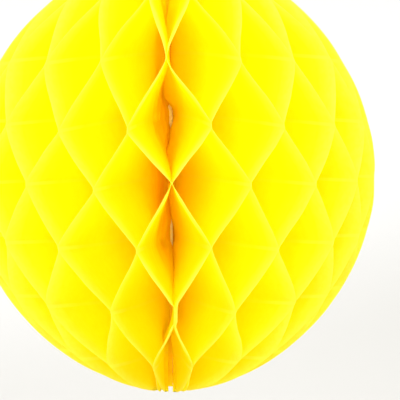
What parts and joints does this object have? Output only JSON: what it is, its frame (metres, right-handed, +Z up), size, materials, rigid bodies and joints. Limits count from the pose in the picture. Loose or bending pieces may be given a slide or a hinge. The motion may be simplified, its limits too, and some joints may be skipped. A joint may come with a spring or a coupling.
{
  "type": "paper honeycomb ball",
  "caption": "Hanging tissue-paper honeycomb ball with diamond cells, which folds flat like a fan round its spine.",
  "frame": {"origin": "centre of the ball, which is the centre of its bounding box", "axes": "+Z up along the spine; -Y towards the seam between the first and last leaf; +X to the right seen from the seam"},
  "size_m": [0.1178, 0.1194, 0.1266],
  "materials": {
    "tissue": "matte, translucent yellow tissue paper",
    "glued_edge": "tissue edges stiff with glue",
    "cotton": "twisted undyed cotton thread",
    "adhesive": "thin dull adhesive film"
  },
  "bodies": {
    "leaf_01_and_spine": {"leaf_01": "tissue", "spine_binding": "glued_edge", "binding_thread": "cotton", "seam_pad_lower": "adhesive", "seam_pad_middle": "adhesive", "seam_pad_upper": "adhesive"},
    "leaf_02": {"leaf_02": "tissue"},
    "leaf_03": {"leaf_03": "tissue"},
    "leaf_04": {"leaf_04": "tissue"},
    "leaf_05": {"leaf_05": "tissue"},
    "leaf_06": {"leaf_06": "tissue"},
    "leaf_07": {"leaf_07": "tissue"},
    "leaf_08": {"leaf_08": "tissue"},
    "leaf_09": {"leaf_09": "tissue"},
    "leaf_10": {"leaf_10": "tissue"},
    "leaf_11": {"leaf_11": "tissue"},
    "leaf_12": {"leaf_12": "tissue"},
    "leaf_13": {"leaf_13": "tissue"},
    "leaf_14": {"leaf_14": "tissue"},
    "leaf_15": {"leaf_15": "tissue"},
    "leaf_16": {"leaf_16": "tissue"},
    "leaf_17": {"leaf_17": "tissue"},
    "leaf_18": {"leaf_18": "tissue"},
    "leaf_19": {"leaf_19": "tissue"},
    "leaf_20": {"leaf_20": "tissue"},
    "leaf_21": {"leaf_21": "tissue"},
    "leaf_22": {"leaf_22": "tissue"},
    "leaf_23": {"leaf_23": "tissue"},
    "leaf_24": {"leaf_24": "tissue"},
    "leaf_25": {"leaf_25": "tissue"},
    "leaf_26": {"leaf_26": "tissue"},
    "leaf_27": {"leaf_27": "tissue"},
    "leaf_28": {"leaf_28": "tissue"},
    "leaf_29": {"leaf_29": "tissue"},
    "leaf_30": {"leaf_30": "tissue"},
    "leaf_31": {"leaf_31": "tissue"},
    "leaf_32": {"leaf_32": "tissue"},
    "leaf_33": {"leaf_33": "tissue"},
    "leaf_34": {"leaf_34": "tissue"},
    "leaf_35": {"leaf_35": "tissue"},
    "leaf_36": {"leaf_36": "tissue"}
  },
  "joints": [
    {"name": "fan_fold", "type": "hinge", "parent": "leaf_01_and_spine", "child": "leaf_36", "pos_m": [0, 0, 0], "axis": [0, 0, 1], "range_deg": [-344.75, 0], "deforming": ["leaf_36", "leaf_01"]},
    {"name": "follow_02", "type": "hinge", "parent": "leaf_01_and_spine", "child": "leaf_02", "pos_m": [0, 0, 0], "axis": [0, 0, 1], "range_deg": [-9.85, 0], "deforming": ["leaf_02"]},
    {"name": "follow_03", "type": "hinge", "parent": "leaf_01_and_spine", "child": "leaf_03", "pos_m": [0, 0, 0], "axis": [0, 0, 1], "range_deg": [-19.7, 0], "deforming": ["leaf_03"]},
    {"name": "follow_04", "type": "hinge", "parent": "leaf_01_and_spine", "child": "leaf_04", "pos_m": [0, 0, 0], "axis": [0, 0, 1], "range_deg": [-29.55, 0], "deforming": ["leaf_04"]},
    {"name": "follow_05", "type": "hinge", "parent": "leaf_01_and_spine", "child": "leaf_05", "pos_m": [0, 0, 0], "axis": [0, 0, 1], "range_deg": [-39.4, 0], "deforming": ["leaf_05"]},
    {"name": "follow_06", "type": "hinge", "parent": "leaf_01_and_spine", "child": "leaf_06", "pos_m": [0, 0, 0], "axis": [0, 0, 1], "range_deg": [-49.25, 0], "deforming": ["leaf_06"]},
    {"name": "follow_07", "type": "hinge", "parent": "leaf_01_and_spine", "child": "leaf_07", "pos_m": [0, 0, 0], "axis": [0, 0, 1], "range_deg": [-59.1, 0], "deforming": ["leaf_07"]},
    {"name": "follow_08", "type": "hinge", "parent": "leaf_01_and_spine", "child": "leaf_08", "pos_m": [0, 0, 0], "axis": [0, 0, 1], "range_deg": [-68.95, 0], "deforming": ["leaf_08"]},
    {"name": "follow_09", "type": "hinge", "parent": "leaf_01_and_spine", "child": "leaf_09", "pos_m": [0, 0, 0], "axis": [0, 0, 1], "range_deg": [-78.8, 0], "deforming": ["leaf_09"]},
    {"name": "follow_10", "type": "hinge", "parent": "leaf_01_and_spine", "child": "leaf_10", "pos_m": [0, 0, 0], "axis": [0, 0, 1], "range_deg": [-88.65, 0], "deforming": ["leaf_10"]},
    {"name": "follow_11", "type": "hinge", "parent": "leaf_01_and_spine", "child": "leaf_11", "pos_m": [0, 0, 0], "axis": [0, 0, 1], "range_deg": [-98.5, 0], "deforming": ["leaf_11"]},
    {"name": "follow_12", "type": "hinge", "parent": "leaf_01_and_spine", "child": "leaf_12", "pos_m": [0, 0, 0], "axis": [0, 0, 1], "range_deg": [-108.35, 0], "deforming": ["leaf_12"]},
    {"name": "follow_13", "type": "hinge", "parent": "leaf_01_and_spine", "child": "leaf_13", "pos_m": [0, 0, 0], "axis": [0, 0, 1], "range_deg": [-118.2, 0], "deforming": ["leaf_13"]},
    {"name": "follow_14", "type": "hinge", "parent": "leaf_01_and_spine", "child": "leaf_14", "pos_m": [0, 0, 0], "axis": [0, 0, 1], "range_deg": [-128.05, 0], "deforming": ["leaf_14"]},
    {"name": "follow_15", "type": "hinge", "parent": "leaf_01_and_spine", "child": "leaf_15", "pos_m": [0, 0, 0], "axis": [0, 0, 1], "range_deg": [-137.9, 0], "deforming": ["leaf_15"]},
    {"name": "follow_16", "type": "hinge", "parent": "leaf_01_and_spine", "child": "leaf_16", "pos_m": [0, 0, 0], "axis": [0, 0, 1], "range_deg": [-147.75, 0], "deforming": ["leaf_16"]},
    {"name": "follow_17", "type": "hinge", "parent": "leaf_01_and_spine", "child": "leaf_17", "pos_m": [0, 0, 0], "axis": [0, 0, 1], "range_deg": [-157.6, 0], "deforming": ["leaf_17"]},
    {"name": "follow_18", "type": "hinge", "parent": "leaf_01_and_spine", "child": "leaf_18", "pos_m": [0, 0, 0], "axis": [0, 0, 1], "range_deg": [-167.45, 0], "deforming": ["leaf_18"]},
    {"name": "follow_19", "type": "hinge", "parent": "leaf_01_and_spine", "child": "leaf_19", "pos_m": [0, 0, 0], "axis": [0, 0, 1], "range_deg": [-177.3, 0], "deforming": ["leaf_19"]},
    {"name": "follow_20", "type": "hinge", "parent": "leaf_01_and_spine", "child": "leaf_20", "pos_m": [0, 0, 0], "axis": [0, 0, 1], "range_deg": [-187.15, 0], "deforming": ["leaf_20"]},
    {"name": "follow_21", "type": "hinge", "parent": "leaf_01_and_spine", "child": "leaf_21", "pos_m": [0, 0, 0], "axis": [0, 0, 1], "range_deg": [-197, 0], "deforming": ["leaf_21"]},
    {"name": "follow_22", "type": "hinge", "parent": "leaf_01_and_spine", "child": "leaf_22", "pos_m": [0, 0, 0], "axis": [0, 0, 1], "range_deg": [-206.85, 0], "deforming": ["leaf_22"]},
    {"name": "follow_23", "type": "hinge", "parent": "leaf_01_and_spine", "child": "leaf_23", "pos_m": [0, 0, 0], "axis": [0, 0, 1], "range_deg": [-216.7, 0], "deforming": ["leaf_23"]},
    {"name": "follow_24", "type": "hinge", "parent": "leaf_01_and_spine", "child": "leaf_24", "pos_m": [0, 0, 0], "axis": [0, 0, 1], "range_deg": [-226.55, 0], "deforming": ["leaf_24"]},
    {"name": "follow_25", "type": "hinge", "parent": "leaf_01_and_spine", "child": "leaf_25", "pos_m": [0, 0, 0], "axis": [0, 0, 1], "range_deg": [-236.4, 0], "deforming": ["leaf_25"]},
    {"name": "follow_26", "type": "hinge", "parent": "leaf_01_and_spine", "child": "leaf_26", "pos_m": [0, 0, 0], "axis": [0, 0, 1], "range_deg": [-246.25, 0], "deforming": ["leaf_26"]},
    {"name": "follow_27", "type": "hinge", "parent": "leaf_01_and_spine", "child": "leaf_27", "pos_m": [0, 0, 0], "axis": [0, 0, 1], "range_deg": [-256.1, 0], "deforming": ["leaf_27"]},
    {"name": "follow_28", "type": "hinge", "parent": "leaf_01_and_spine", "child": "leaf_28", "pos_m": [0, 0, 0], "axis": [0, 0, 1], "range_deg": [-265.95, 0], "deforming": ["leaf_28"]},
    {"name": "follow_29", "type": "hinge", "parent": "leaf_01_and_spine", "child": "leaf_29", "pos_m": [0, 0, 0], "axis": [0, 0, 1], "range_deg": [-275.8, 0], "deforming": ["leaf_29"]},
    {"name": "follow_30", "type": "hinge", "parent": "leaf_01_and_spine", "child": "leaf_30", "pos_m": [0, 0, 0], "axis": [0, 0, 1], "range_deg": [-285.65, 0], "deforming": ["leaf_30"]},
    {"name": "follow_31", "type": "hinge", "parent": "leaf_01_and_spine", "child": "leaf_31", "pos_m": [0, 0, 0], "axis": [0, 0, 1], "range_deg": [-295.5, 0], "deforming": ["leaf_31"]},
    {"name": "follow_32", "type": "hinge", "parent": "leaf_01_and_spine", "child": "leaf_32", "pos_m": [0, 0, 0], "axis": [0, 0, 1], "range_deg": [-305.35, 0], "deforming": ["leaf_32"]},
    {"name": "follow_33", "type": "hinge", "parent": "leaf_01_and_spine", "child": "leaf_33", "pos_m": [0, 0, 0], "axis": [0, 0, 1], "range_deg": [-315.2, 0], "deforming": ["leaf_33"]},
    {"name": "follow_34", "type": "hinge", "parent": "leaf_01_and_spine", "child": "leaf_34", "pos_m": [0, 0, 0], "axis": [0, 0, 1], "range_deg": [-325.05, 0], "deforming": ["leaf_34"]},
    {"name": "follow_35", "type": "hinge", "parent": "leaf_01_and_spine", "child": "leaf_35", "pos_m": [0, 0, 0], "axis": [0, 0, 1], "range_deg": [-334.9, 0], "deforming": ["leaf_35"]}
  ],
  "couplings": [
    {"joint": "follow_02", "follows": "fan_fold", "ratio": 0.028571},
    {"joint": "follow_03", "follows": "fan_fold", "ratio": 0.057143},
    {"joint": "follow_04", "follows": "fan_fold", "ratio": 0.085714},
    {"joint": "follow_05", "follows": "fan_fold", "ratio": 0.11429},
    {"joint": "follow_06", "follows": "fan_fold", "ratio": 0.14286},
    {"joint": "follow_07", "follows": "fan_fold", "ratio": 0.17143},
    {"joint": "follow_08", "follows": "fan_fold", "ratio": 0.2},
    {"joint": "follow_09", "follows": "fan_fold", "ratio": 0.22857},
    {"joint": "follow_10", "follows": "fan_fold", "ratio": 0.25714},
    {"joint": "follow_11", "follows": "fan_fold", "ratio": 0.28571},
    {"joint": "follow_12", "follows": "fan_fold", "ratio": 0.31429},
    {"joint": "follow_13", "follows": "fan_fold", "ratio": 0.34286},
    {"joint": "follow_14", "follows": "fan_fold", "ratio": 0.37143},
    {"joint": "follow_15", "follows": "fan_fold", "ratio": 0.4},
    {"joint": "follow_16", "follows": "fan_fold", "ratio": 0.42857},
    {"joint": "follow_17", "follows": "fan_fold", "ratio": 0.45714},
    {"joint": "follow_18", "follows": "fan_fold", "ratio": 0.48571},
    {"joint": "follow_19", "follows": "fan_fold", "ratio": 0.51429},
    {"joint": "follow_20", "follows": "fan_fold", "ratio": 0.54286},
    {"joint": "follow_21", "follows": "fan_fold", "ratio": 0.57143},
    {"joint": "follow_22", "follows": "fan_fold", "ratio": 0.6},
    {"joint": "follow_23", "follows": "fan_fold", "ratio": 0.62857},
    {"joint": "follow_24", "follows": "fan_fold", "ratio": 0.65714},
    {"joint": "follow_25", "follows": "fan_fold", "ratio": 0.68571},
    {"joint": "follow_26", "follows": "fan_fold", "ratio": 0.71429},
    {"joint": "follow_27", "follows": "fan_fold", "ratio": 0.74286},
    {"joint": "follow_28", "follows": "fan_fold", "ratio": 0.77143},
    {"joint": "follow_29", "follows": "fan_fold", "ratio": 0.8},
    {"joint": "follow_30", "follows": "fan_fold", "ratio": 0.82857},
    {"joint": "follow_31", "follows": "fan_fold", "ratio": 0.85714},
    {"joint": "follow_32", "follows": "fan_fold", "ratio": 0.88571},
    {"joint": "follow_33", "follows": "fan_fold", "ratio": 0.91429},
    {"joint": "follow_34", "follows": "fan_fold", "ratio": 0.94286},
    {"joint": "follow_35", "follows": "fan_fold", "ratio": 0.97143}
  ]
}
